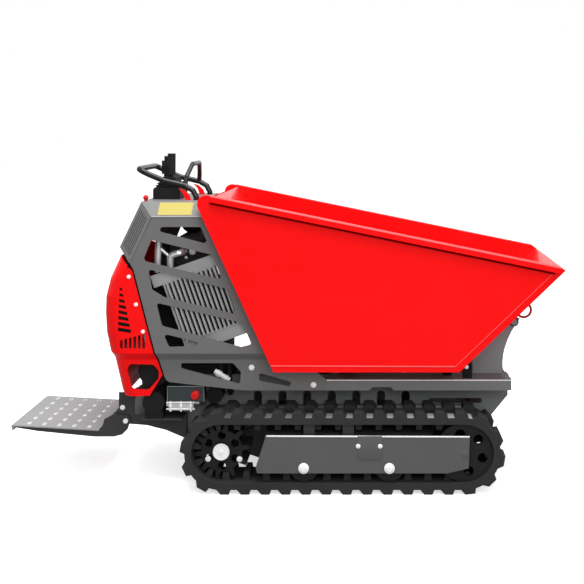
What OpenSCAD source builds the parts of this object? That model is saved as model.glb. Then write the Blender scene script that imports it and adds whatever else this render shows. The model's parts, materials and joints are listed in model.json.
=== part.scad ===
// Tracked mini dumper with a forward tipping skip, a grab bar and a folding footplate.
// Millimetres. X points forward, to the skip, Y to the left and Z up.
// Inside the modules X = 0 lies midway between the wheels; the whole model is then moved
// so that its origin is the middle of its footprint, on the ground.

/* [Tracks] */
// Distance from one link of the track to the next
track_pitch = 72.5; // [68:0.5:78]
// Number of links in one track
track_links = 34; // [32:2:38]
// Number of teeth on the drive sprocket
sprocket_teeth = 10; // [10:2:12]
// Width of the rubber belt
track_w = 180; // [160:5:200]
// Distance between the outer faces of the two tracks
track_span = 710; // [700:5:760]
// Thickness of the belt under the lugs
belt_t = 24; // [18:1:28]
// Depth of the steel cords, which set the pitch, inside the belt
cord_depth = 11.4; // [6:0.1:16]
// Height of the lugs that grip the ground
lug_h = 17; // [10:1:22]
// Length of a lug's flat tip
lug_tip = 28.6; // [20:0.2:34]
// Length of a lug's long flank
lug_long_flank = 16.3; // [8:0.1:20]
// Length of a lug's short flank
lug_short_flank = 6.8; // [4:0.1:12]
// Width of one row of lugs, of two that are staggered by half a pitch
lug_row_w = 72; // [50:1:88]
// Height of the guide blocks inside the belt
guide_h = 28; // [16:1:34]
// Width of the guide blocks
guide_w = 112; // [80:2:120]
// Length of a guide block at its foot
guide_l = 28; // [18:1:32]

/* [Wheels] */
// Thickness of one disc of an idler or a roller
disc_t = 17; // [10:1:20]
// Radius of a road roller's axle
roller_axle_r = 12; // [8:0.5:16]
// Height of the road rollers' axles above the idler's axle
roller_drop = -50; // [-54:1:-46]
// Place of the rear road roller
roller_rear_x = -138; // [-180:1:-100]
// Place of the front road roller
roller_front_x = 167; // [120:1:200]
// Radius of the holes in the idler's discs
idler_hole_r = 18; // [10:1:20]
// Radius of the holes in the sprocket's discs
sprocket_hole_r = 15; // [8:1:18]
// Radius of the cap on the sprocket's hub
hub_cap_r = 30; // [22:1:36]

/* [Chassis] */
// Clear gap between a track and the chassis plate beside it
chassis_gap = 10; // [7:1:20]
// Thickness of the chassis plates
chassis_t = 6; // [4:1:8]
// Height of the deck, on which skip and body stand
deck_z = 387.5; // [380:0.5:395]
// Height of the rail's outer face
rail_h = 38; // [25:1:50]
// How far the rails and the lower body stay inside the side panels' upper part
rail_inset = 30; // [20:1:40]
// Thickness of the rails' plate
rail_t = 5; // [3:0.5:6]
// Place of the chassis' front end
chassis_front_x = 612; // [606:1:625]
// Place of the chassis' rear end
chassis_rear_x = -600; // [-612:1:-596]
// Height of the chassis plates' lower edge
chassis_low_z = 120; // [110:1:135]
// Width of the slots in the chassis plates
slot_w = 30; // [16:1:36]
// Distance from slot to slot
slot_pitch = 92; // [80:1:100]
// Number of slots in a chassis plate
slot_count = 7; // [5:1:8]

/* [Skip] */
// Width over the skip's side walls
skip_w = 690; // [660:5:720]
// Thickness of the skip's walls and floor
skip_t = 4; // [3:0.5:6]
// Clear height between the deck and the skip's floor
skip_gap = 45.5; // [44:0.5:60]
// How far the folded rim stands out from the walls
rim_out = 12; // [6:1:16]
// Height of the folded rim
rim_h = 22; // [14:1:30]
// Radius of the rounded ears at the skip's rear top corners
ear_r = 32; // [20:1:40]
// Radius of the skip's hinge pins
hinge_pin_r = 12; // [8:0.5:13]
// Distance from the front wall to the hinge axis
hinge_off = 44; // [40:0.5:50]
// Height of the hinge axis above the skip's floor
hinge_rise = 179.4; // [170:0.2:186]
// Thickness of the posts that carry the hinge
post_t = 8; // [5:1:10]

/* [Tipping cylinder] */
// Place of the cylinder's foot pin
foot_x = 420; // [400:1:430]
// Height of the cylinder's foot pin
foot_z = 150; // [145:1:160]
// Place of the rod's eye below the skip's floor
eye_x = 0; // [-20:1:20]
// Distance of the rod's eye below the skip's floor
eye_drop = 28; // [26:1:34]
// Radius of the cylinder's barrel
barrel_r = 34; // [30:1:40]
// Radius of the middle stage
stage_r = 26; // [22:1:28]
// Radius of the rod
rod_r = 17; // [12:1:20]
// Radius of the foot pin
foot_pin_r = 12; // [8:0.5:14]

/* [Body] */
// How far the side panels' outer faces stand outside the chassis plates
panel_out = 135; // [128:1:142]
// Width of the sloping chamfers beside the console's top
chamfer_w = 60; // [50:1:70]
// Thickness of the body's sheet metal
sheet_t = 4; // [2:0.5:5]
// Height of the console's flat top
console_z = 1034; // [1020:1:1050]
// Clear gap between the body and the skip's rear wall
skip_clear = 8; // [8:1:20]
// Radius of the corners of the side panels' cutouts
cutout_r = 8; // [2:1:9]
// Thickness of the red rear cover
cover_t = 4; // [2:0.5:5]
// Radius of the rear cover's upright corners
cover_corner_r = 60; // [30:5:80]

/* [Handles] */
// Radius of the grab bar's tube
bar_r = 11; // [8:0.5:13]
// Distance of the grab bar's two sides from the middle
bar_half = 158; // [140:1:175]
// Radius of the grab hoop's tube
hoop_r = 9; // [7:0.5:10]
// Distance of the grab hoop's upper corners from the middle
hoop_half = 76; // [60:1:100]

/* [Footplate] */
// How far the rear frame and the footplate reach outside the chassis plates
plate_out = 29; // [20:1:35]
// Place of the footplate's rear edge
plate_rear_x = -1230; // [-1260:1:-1200]
// Place of the footplate's front edge
plate_front_x = -906; // [-915:1:-900]
// How far the footplate's edges stand outside its arms
tread_out = 11; // [4:1:16]
// Thickness of the footplate
plate_t = 4; // [3:0.5:6]
// Radius of the footplate's hinge pins
plate_pin_r = 9; // [6:0.5:12]
// Place of the footplate's hinge axis
plate_pin_x = -806.5; // [-811:0.5:-803]
// Height of the footplate's hinge axis
plate_pin_z = 220.5; // [217:0.5:225]

/* [Hidden] */
$fn = 48;

// Small clearances: flat faces meet, running fits are free by run_fit on the radius
run_fit = 0.05;
seat_gap = 0.3;

// Track loop
pitch_r = sprocket_teeth * track_pitch / (2 * PI);
wheel_gap = (track_links - sprocket_teeth) * track_pitch / 2;
inner_r = pitch_r - cord_depth;
axle_z = inner_r + belt_t + lug_h;
idler_x = wheel_gap / 2;
track_out = track_span / 2;
track_in = track_out - track_w;
track_mid = track_out - track_w / 2;
lug_phase = 16;
chassis_half = track_in - chassis_gap;
plate_half = chassis_half + plate_out;
panel_half = chassis_half + panel_out;
console_half = panel_half - chamfer_w;
rail_half = panel_half - rail_inset;
near_half = rail_half - 8;
engine_half = chassis_half - 25;
silencer_end = rail_half - 70;
guide_tip_r = inner_r - guide_h;
wheel_r = inner_r - 2 * seat_gap;
disc_in = track_in + (track_w - guide_w) / 4;

// The frame's heights are given for wheels whose axles are at this height
frame_axle_z = 145;
lift = axle_z - frame_axle_z;

// Skip outline, seen from the side: floor, front wall, rim and rear wall
skip_floor_z = deck_z + skip_gap;
skip_floor_rear = [-247, skip_floor_z];
skip_floor_front = [417, skip_floor_z];
skip_lip = [796, skip_floor_z + 363];
skip_lip_top = [781, skip_floor_z + 374];
skip_ear = [-543, skip_floor_z + 644];
front_dir = (skip_lip - skip_floor_front) / norm(skip_lip - skip_floor_front);
front_out = [front_dir.y, -front_dir.x];
rear_dir = (skip_ear - skip_floor_rear) / norm(skip_ear - skip_floor_rear);
rim_dir = (skip_lip_top - skip_ear) / norm(skip_lip_top - skip_ear);
hinge = skip_floor_front + front_dir * hinge_rise / front_dir.y + front_out * hinge_off;

// Middle of the footprint, which becomes the origin
centre_x = (skip_lip.x + plate_rear_x) / 2;

// Cylinder line at rest
foot = [foot_x, foot_z];
eye = [eye_x, skip_floor_z - eye_drop];
ram_len = norm(eye - foot);
ram_angle = atan2(eye.y - foot.y, eye.x - foot.x);
barrel_len = ram_len - 75;
stage_len = ram_len - 55;
barrel_start = 30;

// Slopes of the body, as a function of height: the line behind the skip's rear wall
function behind_skip(z) = skip_floor_rear.x + (z - skip_floor_z) * rear_dir.x / rear_dir.y - skip_clear;

// Point on the track loop, dist along it from the bottom's middle and rise above the pitch line
function track_point(dist, rise) =
    let (loop = track_links * track_pitch, arc = PI * pitch_r, half = wheel_gap / 2,
         d = dist - loop * floor(dist / loop), r = pitch_r + rise)
    d < half ? [d, -r] :
    d < half + arc ? let (a = (d - half) / pitch_r * 180 / PI) [half + r * sin(a), -r * cos(a)] :
    d < half + arc + wheel_gap ? [half - (d - half - arc), r] :
    d < half + 2 * arc + wheel_gap ?
        let (a = (d - half - arc - wheel_gap) / pitch_r * 180 / PI) [-half - r * sin(a), r * cos(a)] :
    [d - loop, -r];

function unit(v) = v / norm(v);
// Corner of an outline as an arc of radius r in steps pieces
function round_corner(a, b, c, r, steps) =
    let (u = unit(a - b), v = unit(c - b), half = acos(u * v) / 2,
         centre = b + unit(u + v) * r / sin(half),
         p = b + u * r / tan(half) - centre, q = b + v * r / tan(half) - centre,
         start = atan2(p.y, p.x), turn = atan2(q.y, q.x) - start,
         sweep = turn > 180 ? turn - 360 : turn < -180 ? turn + 360 : turn)
    [for (k = [0:steps]) centre + r * [cos(start + sweep * k / steps), sin(start + sweep * k / steps)]];
function rounded(pts, r, steps = 4) =
    let (n = len(pts))
    [for (i = [0:n - 1]) each round_corner(pts[(i + n - 1) % n], pts[i], pts[(i + 1) % n], r, steps)];

// The whole model sits with its footprint's middle at the origin; the frame rides on the wheels
module placed() translate([-centre_x, 0, 0]) children();
module framed() translate([-centre_x, 0, lift]) children();
// Parts are drawn on the left; the right one is its mirror image
module on_side(left) {
    if (left) children();
    else mirror([0, 1, 0]) children();
}
module both_sides() {
    children();
    mirror([0, 1, 0]) children();
}
// Plate or block with the side outline pts, from y0 to y1
module slab(pts, y0, y1) translate([0, y1, 0]) rotate([90, 0, 0]) linear_extrude(y1 - y0) polygon(pts);
// Same from a drawn outline
module slab2(y0, y1) translate([0, y1, 0]) rotate([90, 0, 0]) linear_extrude(y1 - y0) children();
// Bar along Y
module bar_y(at, r, y0, y1) translate([at.x, y1, at.y]) rotate([90, 0, 0]) cylinder(r = r, h = y1 - y0);
// Round bar between two points
module bar(a, b, r) {
    d = b - a;
    translate(a) rotate([0, acos(d.z / norm(d)), atan2(d.y, d.x)]) cylinder(r = r, h = norm(d));
}
// Route with its bends rounded to radius r, in steps pieces each
function bend(a, b, c, r, steps) =
    let (u = unit(a - b), v = unit(c - b), half = acos(u * v) / 2,
         centre = b + unit(u + v) * r / sin(half),
         p = b + u * r / tan(half) - centre, q = b + v * r / tan(half) - centre, open = 180 - 2 * half)
    [for (k = [0:steps]) centre + (p * sin(open * (1 - k / steps)) + q * sin(open * k / steps)) / sin(open)];
function bent(route, r, steps = 3) =
    [route[0], each [for (i = [1:len(route) - 2]) each bend(route[i - 1], route[i], route[i + 1], r, steps)],
     route[len(route) - 1]];
function along(p, i) = unit((i < len(p) - 1 ? unit(p[i + 1] - p[i]) : [0, 0, 0])
                            + (i > 0 ? unit(p[i] - p[i - 1]) : [0, 0, 0]));
// Directions across a route, each turned on from the one before
function across(p, first, i = 0) =
    let (t = along(p, i), u = unit(first - (first * t) * t))
    i == len(p) - 1 ? [u] : [u, each across(p, u, i + 1)];
// Tube of radius r along a route; first is a direction that isn't along its start
module pipe(route, r, first = [0, 1, 0], sides = 12) {
    n = len(route);
    u = across(route, first);
    rings = [for (i = [0:n - 1]) let (t = along(route, i), v = cross(t, u[i]))
             each [for (k = [0:sides - 1])
                   route[i] + r * (u[i] * cos(360 * k / sides) + v * sin(360 * k / sides))]];
    polyhedron(
        points = rings,
        faces = [[for (k = [0:sides - 1]) k], [for (k = [sides - 1:-1:0]) (n - 1) * sides + k],
                 each [for (i = [0:n - 2]) each [for (k = [0:sides - 1])
                     [i * sides + k, (i + 1) * sides + k,
                      (i + 1) * sides + (k + 1) % sides, i * sides + (k + 1) % sides]]]]);
}
// Flat sheet of thickness t under a plane outline given in 3D, corners anticlockwise from outside
module sheet3(pts, t) {
    n = len(pts);
    raw = cross(pts[1] - pts[0], pts[2] - pts[1]);
    inward = -raw / norm(raw) * t;
    polyhedron(
        points = [each pts, each [for (p = pts) p + inward]],
        faces = [[for (i = [n - 1:-1:0]) i], [for (i = [0:n - 1]) n + i],
                 each [for (i = [0:n - 1]) [i, (i + 1) % n, n + (i + 1) % n, n + i]]]);
}

// Tracks

function loop_outline(phase, profile) =
    [for (i = [0:track_links - 1]) each [for (p = profile) track_point(phase + i * track_pitch + p[0],
        p[1])]];

module stadium(r) {
    square([wheel_gap, 2 * r], center = true);
    for (x = [-idler_x, idler_x]) translate([x, 0]) circle(r = r);
}

module track(left) on_side(left) placed() color("#303030") {
    // The lugs and guide blocks are rings whose valleys lie sunk below the belt's faces
    sunk = 1.5;
    face = belt_t - cord_depth;
    // Points of one lug: place along the belt, height above the pitch line
    lug = [[-lug_tip / 2 - lug_long_flank, face - sunk], [-lug_tip / 2, face + lug_h],
           [lug_tip / 2, face + lug_h], [lug_tip / 2 + lug_short_flank, face - sunk]];
    gap = track_pitch - guide_l;
    guide = [[-guide_l / 2, sunk - cord_depth], [4 - guide_l / 2, -cord_depth - guide_h],
             [guide_l / 2 - 4, -cord_depth - guide_h], [guide_l / 2, sunk - cord_depth],
             [guide_l / 2 + gap / 2, sunk - cord_depth]];
    translate([0, 0, axle_z]) {
        slab2(track_in, track_out) difference() {
            stadium(inner_r + belt_t);
            stadium(inner_r);
        }
        slab2(track_out - lug_row_w, track_out) difference() {
            polygon(loop_outline(lug_phase, lug));
            stadium(inner_r + belt_t / 2);
        }
        slab2(track_in, track_in + lug_row_w) difference() {
            polygon(loop_outline(lug_phase + track_pitch / 2, lug));
            stadium(inner_r + belt_t / 2);
        }
        slab2(track_mid - guide_w / 2, track_mid + guide_w / 2) difference() {
            stadium(inner_r + belt_t / 2);
            polygon(loop_outline(lug_phase, guide));
        }
    }
}

module sprocket(left) on_side(left) placed() color("#2c2c2c") {
    half = guide_w / 2 - 4;
    gap_angle = (lug_phase + track_pitch / 2 - wheel_gap * 1.5 - PI * pitch_r) / pitch_r * 180 / PI;
    disc_r = guide_tip_r - 2;
    hole_ring = disc_r - sprocket_hole_r - 4;
    translate([-idler_x, 0, axle_z]) {
        for (y = [track_mid - half, track_mid + half - disc_t])
            slab2(y, y + disc_t) difference() {
                circle(r = disc_r);
                for (k = [0:5]) rotate(30 + 60 * k) translate([hole_ring, 0]) circle(r = sprocket_hole_r);
            }
        slab2(track_mid - half, track_mid + half)
            for (k = [0:sprocket_teeth - 1]) rotate(gap_angle + k * 360 / sprocket_teeth)
                polygon([[-11, disc_r - 10], [11, disc_r - 10], [6, wheel_r - 3], [-6, wheel_r - 3]]);
        bar_y([0, 0], 34, track_mid - half, track_mid + half);
        bar_y([0, 0], hub_cap_r, track_mid + half, track_mid + half + 12);
    }
}

module wheel_pair(disc_r, hub_r, axle_r) {
    for (y = [disc_in, 2 * track_mid - disc_in - disc_t])
        slab2(y, y + disc_t) difference() {
            circle(r = disc_r);
            children();
        }
    bar_y([0, 0], hub_r, disc_in, 2 * track_mid - disc_in);
    bar_y([0, 0], axle_r, web_in, web_out + web_t + guard_t);
}

module idler(left) on_side(left) placed() color("#2c2c2c")
    translate([idler_x, 0, axle_z]) wheel_pair(wheel_r, 38, roller_axle_r)
        for (k = [0:5]) rotate(43 + 60 * k) translate([68, 0]) circle(r = idler_hole_r);

module rollers(left) on_side(left) placed() color("#2c2c2c")
    for (x = [roller_rear_x, roller_front_x])
        translate([x, 0, axle_z + roller_drop]) {
            wheel_pair(inner_r + roller_drop - seat_gap, 20, roller_axle_r);
            bar_y([0, 0], 19, web_out + web_t + guard_t, web_out + web_t + guard_t + 4);
        }

// Outline of a track frame's side plate and guard, from the axle line
guard_pts = [[-309, -48], [-304.5, -69], [374.7, -69], [449, -51], [453, 61.5], [-272.5, 64]];
inner_pts = concat([[-309 - 57, 40], [-309 - 57, -48], [-304.5, -69]], [for (i = [2:5]) guard_pts[i]]);
module wheel_holes(r) for (x = [roller_rear_x, roller_front_x]) translate([x, roller_drop]) circle(r = r);

web_t = 10;
guard_t = 4;
web_in = disc_in - 2 - web_t;
web_out = 2 * track_mid - disc_in + 2;
module track_frame(left) on_side(left) placed() color("#3e3e3e") translate([0, 0, axle_z]) {
    for (y = [web_in, web_out])
        slab2(y, y + web_t) difference() {
            polygon(y == web_in ? inner_pts : guard_pts);
            wheel_holes(roller_axle_r + run_fit);
            translate([idler_x, 0]) circle(r = roller_axle_r + run_fit);
        }
    slab([[-280, 52], [idler_x - wheel_r - 12, 52], [idler_x - wheel_r - 12, 61], [-280, 61]],
         web_in + web_t, web_out);
    // Skids that carry the top run, beside the guide blocks
    for (x = [-120, 20])
        slab([[x - 20, 58], [x + 20, 58], [x + 20, inner_r - seat_gap], [x - 20, inner_r - seat_gap]],
             track_mid + guide_w / 2 + 2, track_mid + guide_w / 2 + 14);
    // Arms from the chassis plate to the frame
    for (x = [-250, 230])
        slab([[x - 35, 20], [x + 35, 20], [x + 35, 50], [x - 35, 50]], chassis_half, web_in);
}

module track_guard(left) on_side(left) placed() color("#5e5e5e") translate([0, 0, axle_z])
    slab2(web_out + web_t, web_out + web_t + guard_t) difference() {
        polygon(guard_pts);
        wheel_holes(roller_axle_r + run_fit);
        translate([idler_x, 0]) circle(r = roller_axle_r + run_fit);
    }

module drive_motors() both_sides() placed() color("#262626") translate([-idler_x, 0, axle_z]) {
    bar_y([0, 0], 62, chassis_half, track_in + 10);
    bar_y([0, 0], 50, chassis_half - 90, chassis_half - chassis_t);
    bar_y([0, 0], 30, track_in + 10, track_mid - guide_w / 2 + 4);
}

// Chassis

chassis_pts = [
    [chassis_rear_x, chassis_low_z + 40], [chassis_rear_x + 60, chassis_low_z],
    [470, chassis_low_z], [540, 219], [chassis_front_x, 306], [chassis_front_x, deck_z - rail_t],
    [chassis_rear_x, deck_z - rail_t]];

module slot(a, b, w) {
    translate(a) circle(d = w);
    translate(b) circle(d = w);
    d = b - a;
    translate((a + b) / 2) rotate(atan2(d.y, d.x)) square([norm(d), w], center = true);
}

module chassis(left) on_side(left) framed() color("#6a6a6a") {
    first_slot_x = -322;
    slab2(chassis_half - chassis_t, chassis_half) difference() {
        polygon(chassis_pts);
        for (i = [0:slot_count - 1])
            slot([first_slot_x + i * slot_pitch, 255], [first_slot_x + i * slot_pitch, 307], slot_w);
        slot([323, 285], [506, 285], 19);
    }
    // Rail: flange on top of the plate and outer face
    slab([[-60, deck_z - rail_t], [chassis_front_x, deck_z - rail_t],
          [chassis_front_x, deck_z], [-60, deck_z]], chassis_half - chassis_t, rail_half - rail_t);
    slab([[-60, deck_z - rail_h], [93, deck_z - rail_h], [107, deck_z - rail_h + 12],
          [174, deck_z - rail_h + 12], [184, deck_z - rail_h], [chassis_front_x, deck_z - rail_h],
          [chassis_front_x, deck_z], [-60, deck_z]], rail_half - rail_t, rail_half);
    // Upstand at the rail's front end
    slab([[chassis_front_x - 26, deck_z], [chassis_front_x, deck_z], [chassis_front_x, deck_z + 4],
          [chassis_front_x - 14, deck_z + 18], [chassis_front_x - 20, deck_z + 33],
              [chassis_front_x - 25, deck_z + 16]],
         rail_half - 12, rail_half);
}

module cross_members() framed() color("#3e3e3e") {
    inner = chassis_half - chassis_t;
    // Rear, middle and front tubes: place, height, width and height of each
    for (tube = [[-560, 156, 60, 80], [-300, 150, 70, 50], [90, 150, 70, 50], [490, 160, 60, 60]])
        slab([[tube[0], tube[1]], [tube[0] + tube[2], tube[1]],
              [tube[0] + tube[2], tube[1] + tube[3]], [tube[0], tube[1] + tube[3]]], -inner, inner);
    // Front wall of the chassis
    slab([[chassis_front_x - 12, 310], [chassis_front_x - 6, 310],
          [chassis_front_x - 6, deck_z - rail_t], [chassis_front_x - 12, deck_z - rail_t]], -inner, inner);
    // Foot of the tipping cylinder
    for (y = [-29, 21]) slab2(y, y + 8) {
        translate(foot) circle(r = 24);
        translate([(foot.x + 490) / 2, foot.y + 10]) square([490 - foot.x, 24], center = true);
    }
    bar_y(foot, foot_pin_r, -33, 33);
}

// Outline of the posts that rise in front of the skip and carry its hinge
module skip_posts() both_sides() framed() color("#727272") {
    wall_side = [for (rise = [57, hinge_rise]) skip_floor_front + front_dir * rise / front_dir.y +
        front_out * 7];
    slab2(chassis_half - post_t, chassis_half) {
        polygon([[480, deck_z], [594, deck_z], [593, deck_z + 43], [596, deck_z + 72], [602, deck_z + 97],
                 [613, deck_z + 128], [626, deck_z + 155], [642, deck_z + 182], hinge + [23, 11],
                 wall_side[1], wall_side[0]]);
        translate(hinge) circle(r = 15);
    }
    bar_y(hinge, hinge_pin_r, chassis_half - post_t - 15, chassis_half + 15);
}

// Rubber blocks under the skip's floor, and one in front of its front wall on each side
module rest_buffers() both_sides() framed() color("#1c1c1c") {
    for (x = [-150, 385]) translate([x, chassis_half + 22, deck_z]) cylinder(r = 17, h = skip_gap - seat_gap);
    slab([[438, deck_z], [470, deck_z], [470, deck_z + 50], [464, deck_z + 60], [452, deck_z + 62],
          [438, deck_z + 48]], rail_half - 55, rail_half - 25);
}

// Skip

skip_pts = [skip_floor_rear, skip_floor_front, skip_lip, skip_lip_top,
            each round_corner(skip_lip_top, skip_ear, skip_floor_rear, ear_r, 8)];

module skip_tub() framed() color("#ff1b1e") {
    rear_in = [rear_dir.y, -rear_dir.x] * skip_t;
    cavity = [skip_floor_rear + rear_in + rear_dir * (skip_t - rear_in.y) / rear_dir.y,
              skip_floor_front + [-skip_t / 2, skip_t],
              skip_lip - front_out * skip_t + front_dir * 80, skip_ear + rear_in + rear_dir * 80];
    difference() {
        slab(skip_pts, -skip_w / 2, skip_w / 2);
        slab(cavity, -skip_w / 2 + skip_t, skip_w / 2 - skip_t);
    }
}

// Folded rim: a flat bar along both sides and across the front
module skip_rim() framed() color("#ff1b1e") {
    down = [rim_dir.y, -rim_dir.x] * rim_h;
    rear = skip_ear + rim_dir * 72;
    side = [rear, skip_lip_top, skip_lip_top + down, rear + down];
    for (y = [-skip_w / 2 - rim_out, skip_w / 2]) slab(side, y, y + rim_out);
}

module skip_hinges() both_sides() framed() color("#1c1c1c") {
    base = [for (rise = [-34, 30]) hinge + front_dir * rise - front_out * hinge_off];
    for (y = [chassis_half - post_t - 5 - 6, chassis_half + 5])
        slab2(y, y + 6) difference() {
            union() {
                polygon([base[0], hinge - front_dir * 14, hinge + front_dir * 14, base[1]]);
                translate(hinge) circle(r = 17);
            }
            translate(hinge) circle(r = hinge_pin_r + run_fit);
        }
}

// Two half rings on the outside of the front wall
module skip_ring() both_sides() framed() color("#a01015") {
    ring_r = 26;
    seat = skip_floor_front + front_dir * 319;
    translate([seat.x, skip_w / 2 - 13, seat.y]) rotate([0, atan2(front_out.x, front_out.y) - 90, 0])
        rotate([90, 0, 0]) rotate([0, 0, -90]) rotate_extrude(angle = 180) translate([ring_r, 0])
            circle(r = 3.5);
}

module skip_eye_bracket() framed() color("#1c1c1c") {
    for (y = [-32, 22]) slab2(y, y + 10) {
        translate(eye) circle(r = 20);
        polygon([eye + [-20, 0], eye + [20, 0], [eye.x + 36, skip_floor_z], [eye.x - 36, skip_floor_z]]);
    }
    for (y = [-38, 32]) bar_y(eye, 13, y, y + 6);
}

// Tipping cylinder, drawn along its own line from the foot pin
module along_ram() translate([foot.x, 0, foot.y]) rotate([0, 90 - ram_angle, 0]) children();

module cylinder_barrel() framed() color("#1c1c1c") difference() {
    union() {
        bar_y(foot, 22, -18, 18);
        along_ram() cylinder(r = 16, h = barrel_start + 1);
        along_ram() translate([0, 0, barrel_start]) cylinder(r = barrel_r, h = barrel_len - barrel_start);
    }
    bar_y(foot, foot_pin_r + run_fit, -20, 20);
    along_ram() translate([0, 0, barrel_start + 18]) cylinder(r = stage_r + run_fit, h = barrel_len);
}

module cylinder_stage() framed() color("#b8b8b8") along_ram() difference() {
    translate([0, 0, barrel_start + 22]) cylinder(r = stage_r, h = stage_len - barrel_start - 22);
    translate([0, 0, barrel_start + 34]) cylinder(r = rod_r + run_fit, h = stage_len);
}

module cylinder_rod() framed() color("#d8d8d8") {
    rod_start = barrel_start + 40;
    along_ram() translate([0, 0, rod_start]) cylinder(r = rod_r, h = ram_len - rod_start - 14);
    difference() {
        bar_y(eye, 20, -18, 18);
        bar_y(eye, 12, -20, 20);
    }
}

// Footplate's upper face, from its front edge to the fold of its rear lip
tread_rear = [plate_rear_x + 12, 205];
tread_front = [plate_front_x, 188];

// Rear frame and body

shelf_z = 243;
module rear_frame() framed() color("#3e3e3e") {
    frame_t = 6;
    both_sides() {
        slab([[-796, 206], [-730, 201], [-659, 183], [chassis_rear_x + 15, 152],
              [chassis_rear_x + 15, shelf_z], [-777, shelf_z], [-777, 323], [-835, 323],
              [-835, 245], [-824, 212]], plate_half - frame_t, plate_half);
        slab([[chassis_rear_x, 165], [chassis_rear_x + 15, 165], [chassis_rear_x + 15, shelf_z],
              [chassis_rear_x, shelf_z]], chassis_half, plate_half - frame_t);
        // Shelf beside the frame
        slab([[-735, shelf_z - 5], [chassis_rear_x + 12, shelf_z - 5], [chassis_rear_x + 12, shelf_z],
              [-735, shelf_z]], plate_half, rail_half - 8);
    }
    // Bracket under the valve block
    slab([[-636, shelf_z - 2], [chassis_rear_x + 10, shelf_z - 2], [chassis_rear_x + 10, 273], [-636, 273]],
         50 - rail_half, 30 - rail_half);
    slab([[-824, shelf_z - 5], [chassis_rear_x, shelf_z - 5], [chassis_rear_x, shelf_z], [-824, shelf_z]],
         -plate_half + frame_t, plate_half - frame_t);
    slab([[chassis_rear_x, shelf_z - 5], [-380, shelf_z - 5], [-380, shelf_z], [chassis_rear_x, shelf_z]],
         -chassis_half + chassis_t, chassis_half - chassis_t);
}

// Side view of a side panel: rear edge, top, edge behind the skip, lower part and rail
panel_rear = [[-772, 816], [-756.5, 792], [-678, 485], [-651, 402], [-644, 388], [-633, 380],
    [-362, deck_z - rail_h]];
shoulder_z = 984;
waist_z = 490;
hip_z = 462;

// Cutouts of the side panel: five above the waist, two below it
upper_cutouts = [
    [[-656, 947], [-513, 947], [-490, 892], [-503, 889], [-664, 931]],
    [[-692, 900], [-470, 846], [-436, 756], [-714, 823], [-718, 835]],
    [[-703, 795], [-417, 723], [-384, 631], [-646, 694], [-689, 721]],
    [[-674, 674], [-363, 601], [-330, 523], [-368, 514], [-653, 590]],
    [[-649, 562], [-472, 519], [-628, 514]]];
lower_cutouts = [
    [[-590, 449], [-401, 449], [-372, 417], [-375, 373], [-590, 431]],
    [[-306, 414], [-186, 380], [-196, 364], [-306, 385]]];

module side_panel(left) on_side(left) framed() color("#6f6f6f") {
    front_top = [behind_skip(shoulder_z), shoulder_z];
    front_low = [behind_skip(skip_floor_z - 6), skip_floor_z - 6];
    // The hood's sheets end in a mitre, whose inner edge rests on the panel
    seam = sheet_t * 0.78;
    whole = concat([[-693 + seam, shoulder_z - seam], panel_rear[0] + [seam, 0]],
                   [for (i = [1:len(panel_rear) - 1]) panel_rear[i]],
                   [[-60, deck_z - rail_h], [-60, deck_z], [-110, skip_floor_z - 6],
                    front_low, front_top - [0, seam]]);
    // Folded section, outside first: face, slope at the waist and lower face
    fold = [[panel_half, shoulder_z], [panel_half, waist_z], [rail_half, hip_z], [rail_half, 300],
            [rail_half - sheet_t, 300], [rail_half - sheet_t, hip_z + 2],
            [panel_half - sheet_t, waist_z + 2], [panel_half - sheet_t, shoulder_z]];
    difference() {
        intersection() {
            translate([-900, 0, 0]) rotate([90, 0, 90]) linear_extrude(900) polygon(fold);
            slab(whole, 0, panel_half + 10);
        }
        for (hole = concat(upper_cutouts, lower_cutouts)) slab(rounded(hole, cutout_r), 0, panel_half + 20);
    }
    // Strip behind the rear cover's edge, which is bolted to it
    slab([[-768, 790], [-745, 792], [-670, waist_z + 10], [-710, waist_z + 10]],
         panel_half - sheet_t - 4, panel_half - sheet_t);
}

module console_hood() framed() color("#9a9a9a") {
    top_rear = -741;
    top_front = behind_skip(console_z);
    shoulder_front = behind_skip(shoulder_z);
    hood_low = [-820, 868];
    fall = hood_low - [top_rear, console_z];
    top = [[top_rear, console_half, console_z], [top_rear, -console_half, console_z],
           [top_front, -console_half, console_z], [top_front, console_half, console_z]];
    sheet3(top, sheet_t);
    sheet3([[top_rear, -console_half, console_z], [top_rear, console_half, console_z],
            [hood_low.x, console_half, hood_low.y], [hood_low.x, -console_half, hood_low.y]], sheet_t);
    both_sides() {
        sheet3([[top_rear, -console_half, console_z], [-693, -panel_half, shoulder_z],
                [shoulder_front, -panel_half, shoulder_z], [top_front, -console_half, console_z]], sheet_t);
        sheet3([[hood_low.x, -console_half, hood_low.y],
            [-693, -panel_half, shoulder_z] + [fall.x, 0, fall.y],
                [-693, -panel_half, shoulder_z], [top_rear, -console_half, console_z]], sheet_t);
    }
}

// Rear edge of the cover: height, place and half width of a few level sections
cover_upper = [[842, -812], [759, -850], [692, -867], [633, -869], [561, -865], [waist_z, -850]];
cover_lower = [[hip_z, -842], [347, -815], [322, -806]];

module cover_slice(z, rear_x, half) translate([0, 0, z]) linear_extrude(0.01)
    polygon(concat([[-600, half], [-600, -half]],
                   round_corner([-600, -half], [rear_x, -half], [rear_x, half], cover_corner_r, 6),
                   round_corner([rear_x, -half], [rear_x, half], [-600, half], cover_corner_r, 6)));

module cover_body(inset) {
    hull() for (s = cover_upper) cover_slice(s[0], s[1] + inset, panel_half - inset);
    hull() {
        cover_slice(waist_z, cover_upper[5][1] + inset, panel_half - inset);
        cover_slice(hip_z, cover_lower[0][1] + inset, rail_half - inset);
    }
    hull() for (s = cover_lower) cover_slice(s[0], s[1] + inset, rail_half - inset);
}

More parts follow.
